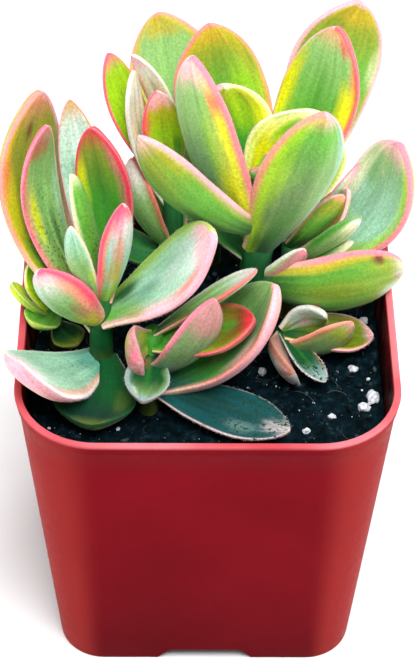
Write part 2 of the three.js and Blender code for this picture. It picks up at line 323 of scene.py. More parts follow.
def squarePoint(step, half, height):  # a point on the rounded square of that half width
    corner = wallCorner(height) - (wallHalf(height) - half)
    corner = min(half, max(corner, potForm["roundest"] * half))
    side, along = divmod(step % ringSteps, potForm["cornerSteps"] + potForm["sideSteps"])
    straight = half - corner
    if along < potForm["cornerSteps"]:
        turn = math.radians(90 * along / potForm["cornerSteps"])
        x, y = straight + corner * math.cos(turn), straight + corner * math.sin(turn)
    else:
        share = (along - potForm["cornerSteps"]) / potForm["sideSteps"]
        x, y = straight * (1 - 2 * share), half
    for _ in range(side):
        x, y = -y, x
    return x, y


def squareLoft(name, profile, heightAt=None):  # a grid wrapped round, its rows set by the profile
    rows = len(profile) - 1
    bpy.ops.mesh.primitive_grid_add(
        x_subdivisions=ringSteps, y_subdivisions=rows, size=1, location=(0, 0, 0))
    piece = takePrimitive(name)
    places = []
    for vertex in piece.data.vertices:
        step = round((vertex.co.x + 0.5) * ringSteps)
        half, height = profile[round((vertex.co.y + 0.5) * rows)]
        x, y = squarePoint(step, half, height)
        places.append((x, y, heightAt(x, y, height) if heightAt else height))
    setPoints(piece.data, places)
    editAll(lambda: bpy.ops.mesh.remove_doubles(threshold=0.002 * mm),
            lambda: bpy.ops.mesh.dissolve_degenerate(threshold=0.001 * mm),
            lambda: bpy.ops.mesh.normals_make_consistent(inside=False))
    deselectAll()
    return piece


def potProfile():
    edge = potForm["edge"]
    rim = potForm["height"]
    wall = potForm["wall"]
    bandBottom = rim - potForm["bandHeight"]
    floorTop = potForm["floorUnder"] + potForm["floorThickness"]
    fillet = potForm["fillet"]
    pad = potForm["padHalf"]

    def inner(height):
        return wallHalf(height) - wall

    under = potForm["floorUnder"]
    profile = [(0, 0), (pad - edge, 0), (pad, edge), (pad, under - edge), (pad + edge, under),
               (inner(under) - edge, under), (inner(0.5 * under), 0.5 * under),
               (potForm["baseHalf"] - wall, 0), (potForm["baseHalf"] - 1.2 * edge, 0)]
    for turn in (30, 60, 90):  # rounded foot
        angle = math.radians(turn)
        profile.append((wallHalf(edge) - edge * (1 - math.sin(angle)), edge * (1 - math.cos(angle))))
    for row in range(1, potForm["wallRows"] + 1):
        height = mix(edge, bandBottom, row / potForm["wallRows"])
        profile.append((wallHalf(height), height))
    band = potForm["bandProud"]
    profile += [(wallHalf(bandBottom) + 0.3 * band, bandBottom + 0.15 * mm),
                (wallHalf(bandBottom) + 0.85 * band, bandBottom + 0.35 * mm),
                (wallHalf(bandBottom) + band, bandBottom + 0.7 * mm),
                (wallHalf(rim - 2 * edge) + band, rim - 2 * edge)]
    for turn in (0, 30, 60, 90):  # rounded rim
        angle = math.radians(turn)
        half = potForm["rimHalf"] - edge * (1 - math.cos(angle))
        profile.append((half, rim - edge * (1 - math.sin(angle))))
    for turn in (90, 45, 0):
        angle = math.radians(turn)
        profile.append((inner(rim) + edge * (1 - math.cos(angle)), rim - edge * (1 - math.sin(angle))))
    for depth in (1.2 * mm, 2.4 * mm, 6 * mm, 12 * mm):
        profile.append((inner(rim - depth), rim - depth))
    profile += [(inner(floorTop + fillet), floorTop + fillet), (inner(floorTop) - fillet, floorTop),
                (0, floorTop)]
    return profile


def wallOffset(x, y, height):  # how far a point lies outside the pot's outer wall
    corner = max(wallCorner(height), potForm["roundest"] * wallHalf(height))
    straight = wallHalf(height) - corner
    past = max(abs(x) - straight, 0), max(abs(y) - straight, 0)
    if min(past) > 0:
        return math.hypot(*past) - corner
    return max(abs(x), abs(y)) - wallHalf(height)


def cornerTurn(x, y, height):  # how far round a corner a point lies, 0 to 1 at its middle
    straight = wallHalf(height) - max(wallCorner(height), potForm["roundest"] * wallHalf(height))
    past = max(abs(x) - straight, 0), max(abs(y) - straight, 0)
    return min(math.atan2(*past), math.atan2(*reversed(past))) / math.radians(45)


def stainAndHighlightPot(pot):  # the inner wall is stained by the potting mix; the outer corners get a paler painted highlight
    low, high = (potForm["height"] - depth for depth in potForm["stainRim"])
    stains, corners = [], []
    for vertex in pot.data.vertices:
        x, y, z = vertex.co
        inside = wallOffset(x, y, z) < -0.5 * potForm["wall"]
        stains.append(1 - smooth(low, high, z) if inside else 0)
        # painted highlight that grows round each outer corner
        corners.append(0 if inside else potForm["cornerHighlight"] * smooth(0, 0.6, cornerTurn(x, y, z)))
    for name, values in (("stain", stains), ("corner", corners)):
        pot.data.attributes.new(name, "FLOAT", "POINT").data.foreach_set("value", values)


def makePot():
    pot = squareLoft("pot_shell", potProfile())
    cutters = []
    form = potForm
    for quarter in range(4):
        turn = Matrix.Rotation(math.radians(90 * quarter), 4, "Z")
        bpy.ops.mesh.primitive_cube_add(size=1, location=(0, 0, 0))
        notch = takePrimitive("notchCutter")
        places = []
        for vertex in notch.data.vertices:
            wide = form["notchTop"] if vertex.co.z > 0 else form["notchBottom"]
            height = form["notchHeight"] if vertex.co.z > 0 else -1 * mm
            depth = -form["baseHalf"] + form["cutDepth"] * vertex.co.y
            places.append(turn @ Vector((wide * vertex.co.x, depth, height)))
        setPoints(notch.data, places)
        rounding = notch.modifiers.new("rounding", "BEVEL")
        rounding.width = form["notchRound"]
        rounding.segments = 4
        applyModifiers(notch)
        bpy.ops.mesh.primitive_cylinder_add(
            vertices=32, radius=form["drainRadius"], depth=form["cutDepth"],
            location=turn @ Vector((0, -form["drainOffset"], form["floorUnder"])))
        drain = takePrimitive("drainCutter")
        deselectAll()
        drain.select_set(True)
        bpy.ops.object.transform_apply(location=True, rotation=True, scale=True)
        cutters += [notch, drain]
    for cutter in cutters:
        cut = pot.modifiers.new("cut", "BOOLEAN")
        cut.operation = "DIFFERENCE"
        cut.solver = "EXACT"
        cut.object = cutter
        applyModifiers(pot)
        bpy.data.objects.remove(cutter)
    deselectAll()
    pot.select_set(True)
    bpy.context.view_layer.objects.active = pot
    bpy.ops.object.shade_smooth_by_angle(angle=math.radians(form["smoothAngle"]))
    deselectAll()
    stainAndHighlightPot(pot)
    pot.data.materials.append(redPlastic)
    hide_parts("pot")
    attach(pot, "root")


mixForm = {
    "top": 54 * mm, "gap": 0.3 * mm, "rings": 46, "lump": 0.55 * mm, "grain": 0.35 * mm,
    "crumbs": 950, "crumbSize": (0.25 * mm, 0.75 * mm), "specks": 260, "speckSize": (0.07 * mm, 0.4 * mm),
    "fibres": 110, "fibreLength": (1.5, 5), "fibreRadius": (0.05, 0.11), "fibreCuts": 6,
    "spread": 29.2 * mm, "fibreSpread": 28 * mm, "straight": 18 * mm, "seed": 11,
}
fullTurn = 6.28
perliteGrains = [  # x, y and radius of the larger grains, as in the CAD potting mix
    (28, -13, 1.3), (26.4, -15.4, 1.0), (9.4, -6.6, 0.8), (25, -6, 0.8), (27.4, 6, 0.9), (-23, 6, 0.8),
    (16.5, -20.5, 0.7), (21, -17, 0.6), (-3, 26, 0.9), (24, 24, 0.8), (-20, 20, 1.0), (-27.5, 12, 0.8),
]


def mixHeight(x, y, height=mixForm["top"]):
    if height < mixForm["top"]:
        return height
    coarse = noise.noise(Vector((x, y, 0)) / (5 * mm))
    fine = noise.noise(Vector((x, y, 9)) / (1.3 * mm))
    return height - 0.3 * mm + mixForm["lump"] * coarse + mixForm["grain"] * fine


def makeMix():
    bottom = potForm["floorUnder"] + potForm["floorThickness"] + mixForm["gap"]
    fillet = potForm["fillet"]

    def side(height):
        return wallHalf(height) - potForm["wall"] - mixForm["gap"]

    profile = [(0, bottom), (side(bottom) - fillet, bottom), (side(bottom + fillet), bottom + fillet),
               (side(30 * mm), 30 * mm), (side(mixForm["top"] - 1.2 * mm), mixForm["top"] - 1.2 * mm)]
    for ring in range(mixForm["rings"], -1, -1):
        profile.append((side(mixForm["top"]) * ring / mixForm["rings"], mixForm["top"]))
    body = squareLoft("potting_mix_body", profile, mixHeight)
    shadeSmooth(body)
    body.data.materials.append(dampPeat)
    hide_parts("potting_mix")
    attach(body, "root")


def roughGrain(name, subdivisions):  # one lump that the copies start from
    bpy.ops.mesh.primitive_ico_sphere_add(subdivisions=subdivisions, radius=1, location=(0, 0, 0))
    return takePrimitive(name)


def scatterGrains(name, spots, blank, roughness, material, seed):
    draw = random.Random(seed)
    blankPoints = points(blank.data)
    copies = []
    for x, y, z, size in spots:
        mesh = blank.data.copy()
        offset = Vector((draw.uniform(0, 99), draw.uniform(0, 99), draw.uniform(0, 99)))
        tilt = Matrix.Rotation(draw.uniform(0, fullTurn), 3, "X")
        turn = tilt @ Matrix.Rotation(draw.uniform(0, fullTurn), 3, "Z")
        stretch = Vector((draw.uniform(0.7, 1.2), draw.uniform(0.7, 1.2), draw.uniform(0.6, 1)))
        places = []
        for point in blankPoints:
            swell = 1 + roughness * noise.noise(1.3 * point + offset)
            local = turn @ (point * swell * size)
            places.append((x + local.x * stretch.x, y + local.y * stretch.y, z + local.z * stretch.z))
        setPoints(mesh, places)
        copies.append(addObject(name, mesh))
    joined = joinPieces(copies, name)
    shadeSmooth(joined)
    joined.data.materials.append(material)
    bpy.data.objects.remove(blank)
    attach(joined, "root")


def freeSpot(draw, half, clear):  # a spot on the mix that is clear of the stems
    while True:
        x, y = draw.uniform(-half, half), draw.uniform(-half, half)
        straight = mixForm["straight"]
        corner = max(abs(x) - straight, 0), max(abs(y) - straight, 0)
        if math.hypot(*corner) > half - straight:
            continue
        if all(math.hypot(x - sx, y - sy) > radius + clear for sx, sy, radius in stemFeet):
            return x, y


def makeMixGrains():
    draw = random.Random(mixForm["seed"])
    half = mixForm["spread"]
    crumbs = []
    for _ in range(mixForm["crumbs"]):
        x, y = freeSpot(draw, half, 0.6 * mm)
        size = mix(*mixForm["crumbSize"], draw.random() ** 2)
        crumbs.append((x, y, mixHeight(x, y) + 0.15 * size, size))
    scatterGrains("peat_crumbs", crumbs, roughGrain("crumbBlank", 1), 0.9, peatCrumb, 5)
    grains = [(x * mm, y * mm, mixHeight(x * mm, y * mm) + 0.4 * radius * mm, radius * mm)
              for x, y, radius in perliteGrains]
    scatterGrains("perlite_grains", grains, roughGrain("perliteBlank", 3), 0.55, perliteWhite, 8)
    specks = []
    for _ in range(mixForm["specks"]):
        x, y = freeSpot(draw, half, 0.4 * mm)
        size = mix(*mixForm["speckSize"], draw.random() ** 4)
        specks.append((x, y, mixHeight(x, y) + 0.5 * size, size))
    scatterGrains("perlite_specks", specks, roughGrain("speckBlank", 1), 0.6, perliteWhite, 9)


def makeFibres():  # short strands of peat that lie bent on the mix
    draw = random.Random(mixForm["seed"] + 1)
    bpy.ops.mesh.primitive_cylinder_add(vertices=4, radius=1, depth=1, location=(0, 0, 0))
    blank = takePrimitive("fibreBlank")
    sliceAcross(mixForm["fibreCuts"])
    blankPoints = points(blank.data)
    copies = []
    for _ in range(mixForm["fibres"]):
        x, y = freeSpot(draw, mixForm["fibreSpread"], 0.8 * mm)
        length = draw.uniform(*mixForm["fibreLength"]) * mm
        radius = draw.uniform(*mixForm["fibreRadius"]) * mm
        heading, bend = draw.uniform(0, fullTurn), draw.uniform(-1.2, 1.2)
        places = []
        for point in blankPoints:
            turn = heading + bend * point.z
            px, py = x + length * point.z * math.cos(turn), y + length * point.z * math.sin(turn)
            lift = mixHeight(px, py) + 0.25 * mm + radius * point.y
            out = radius * point.x
            places.append((px - out * math.sin(turn), py + out * math.cos(turn), lift))
        mesh = blank.data.copy()
        setPoints(mesh, places)
        copies.append(addObject("fibre", mesh))
    fibres = joinPieces(copies, "peat_fibres")
    shadeSmooth(fibres)
    fibres.data.materials.append(peatFibre)
    bpy.data.objects.remove(blank)
    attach(fibres, "root")


# Leaf colours by name

tints = {
    "deep": srgb(8, 78, 36), "green": srgb(62, 145, 40), "leaf": srgb(104, 172, 62),
    "sage": srgb(146, 190, 112), "mint": srgb(160, 208, 180), "frost": srgb(208, 226, 216),
    "teal": srgb(92, 158, 140), "moss": srgb(104, 122, 20), "olive": srgb(150, 160, 44),
    "gold": srgb(200, 172, 36), "amber": srgb(214, 150, 62), "bronze": srgb(164, 104, 64),
    "lime": srgb(160, 205, 26), "yellow": srgb(232, 226, 20), "lemon": srgb(244, 242, 150),
    "cream": srgb(248, 240, 196), "coral": srgb(248, 112, 84), "salmon": srgb(250, 146, 124),
    "rose": srgb(248, 110, 142), "hot": srgb(248, 52, 104), "red": srgb(226, 44, 66),
    "blush": srgb(252, 178, 194), "pearl": srgb(232, 216, 216),
    # night is a near-black teal that paints shade on leaves lying in shade
    "night": srgb(10, 48, 40), "white": srgb(244, 246, 246), "brown": srgb(120, 60, 30),
    # mauve, steel, fern and sea are dusky copies of rose, teal and green: painted shade, used mostly on
    # the low leaves near the mix
    "bark": srgb(70, 84, 34), "mauve": srgb(186, 128, 126), "steel": srgb(138, 166, 164),
    # jade is a saturated green that stands in for light shining through leaves into the shade: painted
    # light
    "fern": srgb(116, 150, 92), "sea": srgb(6, 72, 74), "jade": srgb(52, 128, 70),
}


def leaf(name, at, azimuth, elevation, length, width, roll, sag, fold, inner="green leaf olive",
         outer="green mint sage", plus="", minus="", both="rose .1 cream .22", tip="rose .08",
         rib="green .35", under="", spots="", specks=0):
    return {
        "name": name, "at": at, "azimuth": azimuth, "elevation": elevation, "length": length,
        "width": width, "roll": roll, "sag": sag, "fold": fold, "inner": inner.split(),
        "outer": outer.split(), "plus": (plus or both).split(), "minus": (minus or both).split(),
        "tip": tip.split(), "rib": rib.split(), "under": under.split(), "specks": specks,
        "spots": [spot.split() for spot in spots.split(";") if spot],
    }


# stems default to the jade green, painted light shining through the leaves
def stem(foot, top, height, radius, leaves, skin="jade"):
    return {"foot": foot, "top": top, "height": height, "radius": radius, "leaves": leaves, "skin": skin}


# Each leaf, in millimetres and degrees: height of its root on the stem, azimuth and elevation,
# length, width, roll, then sag and upturned margins in percent. Its paint: three colours from root
# to tip for each face, a margin and a band with their widths for each side or for both, the tip,
# the line along the middle, the underside's margin, and spots with place, reach and strength.
# Most rows of visible leaves are rounded results of a fit to their outlines in the photograph

stems = {
    "stem_left": stem((-18, -6), (-18, -5), 20, 2.1, [
        leaf("a1", 11.5, 114, 53, 39, 16.5, 32, 20, 10, inner="moss olive olive", outer="green olive sage",
             plus="blush .13 blush .22", minus="salmon .03 gold .16", tip="salmon .07", rib="moss .1",
             under="salmon .02 gold .1",
             spots="coral .68 -.9 .12 .2 .6; yellow .55 -.75 .2 .2 .5; green .3 -.7 .15 .3 .6; "
                   "brown .86 -.35 .05 .16 1"),
        leaf("a2", 12.5, 126, 66, 34, 9, 16, 20, 6, inner="olive sage sage", outer="green sage rose",
             plus="blush .05 lime .2", minus="rose .08 salmon .28", tip="rose .06", rib="green .3",
             spots="red .9 -.3 .07 .9 .6; yellow .52 -.5 .2 .25 .9; deep .4 .3 .2 .2 .6; "
                   "mint .6 .8 .25 .3 .6; bronze .12 0 .1 .9 .5", specks=.6),
        leaf("a3", 18, 103, 42, 32, 7.5, -18, 6, 10, inner="sage mint frost", outer="green mint sage",
             plus="coral .05 gold .2", minus="blush .06 mint .2", tip="amber .08", rib="mint .1",
             specks=-.2),
        leaf("a4", 15, 96, 66, 30, 11, -38, 10, 8, inner="deep green olive", outer="green mint rose",
             plus="red .16 rose .3", minus="hot .1 coral .25", tip="red .08", rib="deep .3",
             spots="yellow .7 -.75 .14 .25 1; lime .58 -.6 .12 .25 .7; green .5 -.1 .15 .3 .8; "
                   "rose .85 .7 .15 .35 .5"),
        leaf("a5", 16.5, 132, 73, 23, 8, -132, 2, 30, inner="moss green leaf", outer="green leaf leaf",
             plus="cream .05 leaf .12", minus="leaf .1 leaf .2", tip="cream .05", specks=.9),
        leaf("a7", 15, 189, 76, 18, 4.5, 64, 10, 20, inner="green lime sage", outer="lime sage mint",
             plus="frost .06 mint .2", minus="cream .08 mint .24", tip="frost .06",
             spots="lime .45 -.8 .15 .3 .9", specks=.2),
        leaf("a8", 14.5, -7, 80, 23, 7, -40, 6, 30, inner="olive gold rose", outer="green mint pearl",
             plus="hot .07 coral .22", minus="white .1 frost .5", tip="hot .12",
             spots="coral .62 .3 .2 .35 .6; gold .42 .35 .2 .4 .8; lime .2 .2 .16 .7 .8; "
                   "frost .6 -.6 .3 .3 .6; rose .85 .5 .12 .4 .5"),
        leaf("a9", 11.5, 182, 50, 15, 11.5, 60, 10, 30, inner="green sage rose", outer="olive sage frost",
             plus="white .05 blush .14", minus="hot .1 salmon .42", tip="blush .1",
             spots="yellow .2 -.3 .18 .6 .6; bronze .4 -.5 .2 .25 .5; frost .6 .4 .3 .3 .5", specks=.3),
        leaf("a10", 12, -11, 50, 29, 13.5, 22, 6, 0, inner="leaf mint frost", outer="green mint rose",
             plus="blush .1 blush .34", minus="lime .1 lime .42", tip="blush .14", rib="frost .2",
             spots="deep .2 -.35 .14 .4 .9; olive .25 .7 .12 .3 .6; teal .36 .1 .12 .3 .4; "
                   "lime .7 -.85 .3 .2 .4; coral .72 .8 .2 .1 .7; frost .62 .2 .16 .4 .5"),
        leaf("a11", 3, 237, 37, 27.5, 14, -12, 10, 0, inner="teal mint frost", outer="olive cream blush",
             plus="frost .06 mint .2", minus="white .08 salmon .22", tip="blush .1", rib="mint .1",
             under="blush .15 salmon .25", spots="teal .12 0 .1 1 .6", specks=.3),
        # b1 and b2 lie in shade on the mix: their near-black greens are painted shade
        leaf("b1", 3, 215, 0, 12, 8, 0, 0, 8, inner="night night deep", outer="night deep moss",
             both="bark .1 bark .2", tip="bark .1"),
        leaf("b2", 3.5, 266, 3, 18, 14, 0, 0, 8, inner="deep deep night", outer="night deep moss",
             both="deep .04 deep .1", tip="moss .04", rib="night .5",
             spots="moss .7 -.7 .2 .25 .3; deep .5 .2 .25 .4 .3"),
        leaf("a20", 9, 110, 35, 18, 11, 0, 8, 8),
        leaf("a21", 19, 20, 66, 8, 5, 0, 8, 12, inner="green lime sage"),
        leaf("a22", 19, 200, 68, 7, 5, 0, 8, 12, inner="green lime sage"),
    ]),
    "stem_left_bud": stem((-26, 0), (-26, 0), 9, 1.3, [
        leaf("a12", 7, 178, 45, 10, 6, 20, 6, 15, inner="lime lime yellow", outer="lime lime yellow",
             plus="lime .1 lime .2", minus="lime .06 lime .2", tip="olive .06"),
        leaf("a13", 7.5, 146, 60, 10, 6, 0, 6, 15, inner="lime lime lime", outer="lime lime lime",
             both="cream .05 yellow .2", tip="lime .06", specks=.5),
        leaf("a14", 8.5, 234, 10, 6, 7, 0, 6, 15, inner="green leaf leaf", outer="green green leaf",
             both="lime .05 leaf .2", tip="lime .06", specks=.4),
        # a15 lies in shade: its near-black greens are painted shade
        leaf("a15", 5, 310, -5, 6, 6, 0, 6, 15, inner="night deep moss", outer="night deep moss",
             both="moss .1 moss .2", tip="moss .1"),
    ]),
    "stem_rear_left": stem((-6, 9), (-6, 11), 29, 2, [
        leaf("c1", 27.5, 97, 38, 29.5, 17, -30, 14, 0, inner="leaf sage sage", outer="green sage sage",
             plus="salmon .06 gold .3", minus="salmon .06 gold .34", tip="gold .06", rib="leaf .2",
             spots="gold .92 0 .06 1 .6"),
        leaf("c2", 26.5, 141, 58, 25.5, 7.5, -4, 8, 6, inner="lime lime lime", outer="green sage sage",
             plus="coral .06 gold .25", minus="hot .07 salmon .12", tip="rose .08", rib="leaf .3"),
        leaf("c3", 28.5, 146, 70, 23.5, 6, -95, 12, 10, inner="cream cream white",
             outer="mint frost frost", plus="white .08 lemon .3", minus="rose .1 blush .4",
             tip="blush .1"),
        leaf("c4", 22, 150, 75, 27.5, 6, 6, 9, 10, inner="lemon cream white", outer="mint white white",
             plus="salmon .06 cream .3", minus="white .15 cream .5", tip="cream .1"),
        leaf("c5", 26, 140, 80, 19.5, 7, -34, 0, 14, inner="green lime gold", outer="green mint rose",
             plus="frost .04 olive .2", minus="hot .08 coral .28", tip="blush .12", rib="deep .35",
             spots="salmon .9 -.2 .1 .9 .7; lime .5 .1 .15 .4 .6; green .42 .6 .15 .3 .8; "
                   "coral .7 -.8 .15 .3 .7"),
        leaf("i1", 13.5, 149, 64, 18.5, 6.5, 88, 12, 12, inner="green olive rose",
             outer="green sage pearl", plus="frost .08 pearl .3", minus="coral .08 bronze .2",
             tip="pearl .12"),
        leaf("c20", 15, 110, 40, 17, 12, 0, 8, 10),
        # c21 lies in shade; its saturated jade green is painted light shining through leaves
        leaf("c21", 12, 185, 30, 13, 9, 0, 8, 10, inner="deep jade jade", outer="deep jade jade",
             both="jade .05 green .2", tip="green .06"),
        leaf("c23", 28, 20, 76, 5, 4, 0, 8, 12, inner="green lime sage"),
        leaf("c24", 28, 215, 70, 7, 5, 0, 8, 12, inner="green lime sage"),
    ]),
    "stem_centre": stem((7, 2), (9.5, 5), 34, 2.8, [
        leaf("c6", 21, 154, 70, 36.5, 14.5, 68, 6, 10, inner="green leaf olive", outer="green sage sage",
             plus="white .03 mint .4", minus="rose .06 yellow .34", tip="blush .1",
             spots="yellow .34 -.6 .24 .35 .9; hot .82 -.85 .1 .16 .7; teal .5 .1 .2 .5 .3; "
                   "lime .6 -.5 .2 .2 .5; blush .95 .1 .06 .8 .3", specks=.3),
        leaf("c7", 23.5, 194, 49, 31.5, 9.5, 66, 13, 20, inner="green leaf olive", outer="deep leaf olive",
             plus="green .12 green .5", minus="blush .08 olive .2", tip="blush .05",
             spots="deep .42 .35 .2 .35 .9; moss .7 .3 .2 .4 .4; gold .85 -.7 .14 .2 .4"),
        leaf("c8", 27.5, 115, 49, 31.5, 17, 0, 13, 0, inner="leaf leaf olive", outer="green mint sage",
             plus="salmon .07 gold .3", minus="coral .06 gold .3", tip="gold .1", rib="green .6",
             spots="lime .6 .5 .2 .4 .7; amber .96 -.2 .05 .8 .6"),
        leaf("c9", 26.5, 125, 59, 22.5, 15.5, -4, 10, 16, inner="green green olive",
             outer="green mint sage", plus="cream .09 yellow .45", minus="blush .05 olive .2",
             tip="olive .04", rib="green .2", spots="lime .8 .3 .25 .3 .7"),
        leaf("c10", 25.5, 27, 61, 21, 17, 56, 4, 16, inner="yellow yellow lemon", outer="green mint sage",
             plus="cream .05 lime .2", minus="cream .03 lemon .2", tip="cream .04", rib="yellow .2",
             spots="lime .78 -.55 .22 .13 1; leaf .82 -.5 .14 .08 .8; green .9 -.93 .1 .1 .5"),
        leaf("c11", 19.5, 353, 72, 31.5, 15, -60, 5, 20, inner="green leaf olive", outer="deep fern leaf",
             plus="salmon .06 lime .42", minus="blush .06 mint .4", tip="rose .03",
             spots="deep .14 0 .14 1 .7; green .3 .1 .2 .6 .4; sage .6 -.4 .3 .4 .6; "
                   "mint .5 -.8 .3 .2 .6", specks=.15),
        leaf("c12", 26, 54, 53, 33.5, 16, -10, 10, 12, inner="green leaf sage", outer="green mint sage",
             plus="red .06 coral .16", minus="blush .05 lime .2", tip="salmon .05", rib="green .5",
             spots="yellow .62 -.9 .26 .34 1; yellow .64 .75 .16 .32 .9; green .65 .5 .08 .1 .6; "
                   "hot .93 .7 .07 .3 .7; bronze .93 .6 .06 .35 .5"),
        leaf("r1", 13, 9, -1, 26, 13.5, -88, 12, 10, inner="green leaf olive", outer="deep leaf olive",
             plus="rose .06 gold .24", minus="frost .04 green .2", tip="pearl .08",
             spots="frost .86 -.4 .1 .4 .6; deep .3 -.6 .25 .3 .8; brown .78 .85 .05 .14 1; "
                   "brown .93 .1 .05 .2 1; olive .5 .1 .28 .5 .6"),
        leaf("c16", 12.5, 8, 36, 10.5, 7, -66, 10, 12, inner="green mauve mauve", outer="teal mauve mauve",
             plus="frost .06 sage .2", minus="rose .1 mauve .2", tip="rose .08"),
        # c22 lies in shade; its saturated jade green is painted light shining through leaves
        leaf("c22", 17, 115, 30, 12, 11, 0, 8, 12, inner="deep jade jade", both="jade .05 green .2",
             tip="jade .06"),
        leaf("c25", 32.5, 75, 62, 5, 5, 0, 8, 12, inner="green lime sage"),
        leaf("c26", 32.5, 250, 70, 5, 5, 0, 8, 12, inner="green lime sage"),
    ]),
    "stem_right_bud": stem((14, 8), (14, 8), 16, 1.5, [
        leaf("c14", 16, 18, 44, 13, 6.5, -82, 4, 16, inner="green leaf olive", outer="deep leaf olive",
             plus="blush .05 olive .2", minus="frost .06 sage .2", tip="salmon .08",
             spots="gold .7 .6 .2 .3 .3"),
        leaf("c15", 13, 10, 34, 14.5, 8, -56, 5, 18, inner="green leaf sage", outer="fern sage cream",
             plus="green .1 green .2", minus="cream .1 sage .2", tip="frost .1"),
        leaf("c17", 13, 0, 20, 11.5, 4, -8, 10, 12, inner="olive sage cream", outer="green leaf sage",
             both="cream .1 sage .24", tip="pearl .08"),
        leaf("c18", 14.5, 23, 46, 15, 7, -16, 12, 8, inner="moss bronze olive", outer="green olive olive",
             plus="blush .06 sage .16", minus="white .08 blush .14", tip="blush .06"),
        leaf("c19", 15, 38, 38, 19, 4.5, -72, 2, 16, inner="green olive rose", outer="olive sage blush",
             plus="rose .04 mint .2", minus="mint .1 mint .2", tip="rose .06"),
    ]),
    "stem_rear_right": stem((17, 14), (17, 15), 24, 2.2, [
        leaf("c13", 24, 59, 59, 32, 16.5, 44, 11, 4, inner="leaf leaf olive", outer="green mint sage",
             plus="blush .08 olive .2", minus="blush .06 olive .2", tip="gold .1", rib="green .3",
             spots="cream .66 .85 .14 .2 .5; gold .93 .1 .07 .8 .7; olive .46 .85 .08 .14 .7; "
                   "bronze .97 .2 .03 .5 .5"),
        leaf("r2", 6, 32, 47, 27, 19, -10, 14, 0, inner="leaf mint sage", outer="green mint sage",
             plus="rose .05 lime .2", minus="blush .08 cream .5", tip="blush .08", rib="leaf .2",
             spots="lime .25 .7 .15 .3 .7; mint .6 .3 .3 .4 .5; leaf .75 -.3 .1 .3 .4", specks=.15),
        leaf("r3", 16, 108, 58, 20, 12, 0, 8, 8),
        leaf("r4", 14, 148, 45, 13, 11, 0, 8, 8),
        leaf("r5", 9, 105, 25, 18, 11, 0, 8, 8),
        leaf("r6", 8, 60, 20, 14, 10, 0, 8, 8),
        leaf("r7", 23, 10, 66, 8, 5, 0, 8, 12, inner="green lime sage"),
        leaf("r8", 23, 190, 70, 7, 5, 0, 8, 12, inner="green lime sage"),
    ]),
    "stem_front": stem((-10, -15), (-9, -9), 12, 1.8, [
        leaf("f1", 10.5, 258, 13, 7.5, 10, -78, 20, 6, inner="green olive olive",
             outer="bronze olive mauve", plus="mauve .05 mauve .2", minus="mauve .3 mauve .6",
             tip="rose .1"),
        # f2's inner face is darkened with painted shade inside its cup
        leaf("f2", 9, 264, 4, 13, 7.5, -4, 4, 32, inner="night deep fern", outer="teal steel frost",
             plus="steel .08 steel .3", minus="steel .08 fern .3", tip="steel .1",
             spots="night .3 -.7 .15 .3 .7; bronze .25 .2 .12 .3 .4; frost .85 .6 .12 .2 .5", specks=.3),
        leaf("f3", 6, 6, 56, 18.5, 9, -70, 14, 6, inner="green olive rose", outer="teal fern mauve",
             plus="rose .06 mauve .16", minus="blush .05 mauve .2", tip="mauve .12",
             spots="mauve .82 .1 .16 .9 .8; mint .5 -.5 .2 .4 .3", specks=.3),
        leaf("f4", 10, -2, 21, 18, 11, 0, 5, 16, inner="green moss brown", outer="green olive rose",
             plus="red .06 olive .2", minus="red .07 bronze .2", tip="red .08",
             spots="green .75 0 .1 .35 .7; red .94 0 .05 .9 .4", specks=.3),
        leaf("f5", 3, 21, 37, 27.5, 15.5, -8, 16, 32, inner="sea green fern", outer="green mauve salmon",
             plus="salmon .06 mauve .16", minus="sage .05 fern .2", tip="sage .1", rib="deep .3",
             under="blush .2 salmon .4", spots="olive .45 .1 .12 .2 .6; blush .6 .75 .2 .2 .5", specks=.3),
        leaf("f6", 11.5, 16, 30, 20.5, 6, -20, 0, 24, inner="deep sage frost", outer="green mint mint",
             plus="coral .1 salmon .2", minus="frost .1 pearl .3", tip="pearl .16",
             spots="olive .25 .4 .2 .6 .6"),
        # g lies in the shade of f5: its dark teals are painted shade, and its pale steel spot a painted
        # sheen
        leaf("g", 4, 336, -2, 25.5, 10.5, 0, 2, 6, inner="sea sea sea", outer="night deep teal",
             plus="pearl .03 sea .1", minus="steel .04 sea .1", tip="pearl .03", rib="night .3",
             spots="night .3 -.2 .3 .8 .8; pearl .9 .2 .1 .6 .4; steel .7 .55 .14 .3 .35", specks=-1),
    ], skin="green"),
    "stem_small_right": stem((13, -2), (13, -2), 5, 1.4, [
        leaf("e1", 5, 0, 24, 8, 8, 108, 14, 4, inner="olive frost frost", outer="mint blush rose",
             plus="olive .25 olive .6", minus="frost .1 frost .3", tip="frost .12",
             spots="blush .5 .1 .2 .4 .6"),
        leaf("e2", 2, 354, 30, 13.5, 7.5, -72, 14, 4, inner="green leaf olive", outer="fern fern olive",
             plus="salmon .07 bronze .25", minus="pearl .05 steel .2", tip="mauve .1"),
        leaf("e3", 5, 6, -8, 16, 9.5, 0, 0, 18, inner="deep moss moss", outer="green olive coral",
             plus="blush .06 gold .2", minus="frost .05 bronze .2", tip="blush .08", rib="deep .6"),
        leaf("e4", 3.5, 278, 15, 12, 9, -62, 8, 4, inner="deep mauve steel", outer="sage mint frost",
             plus="bronze .1 mauve .4", minus="steel .1 pearl .3", tip="mauve .14"),
        leaf("e5", 5, 304, -8, 12.5, 4.5, -4, 2, 16, inner="deep deep steel", outer="green sage frost",
             plus="pearl .04 steel .16", minus="pearl .05 bronze .16", tip="steel .1", specks=-1),
    ]),
    "stem_rear": stem((1, 22), (1, 22), 15, 1.6, [
        leaf("k1", 8, 60, 30, 14, 10, 0, 8, 12),
        leaf("k2", 8, 220, 30, 10, 9, 0, 8, 12),
        leaf("k3", 12, 130, 45, 17, 10, 0, 8, 12),
        leaf("k4", 12, 310, 60, 9, 9, 0, 8, 12),
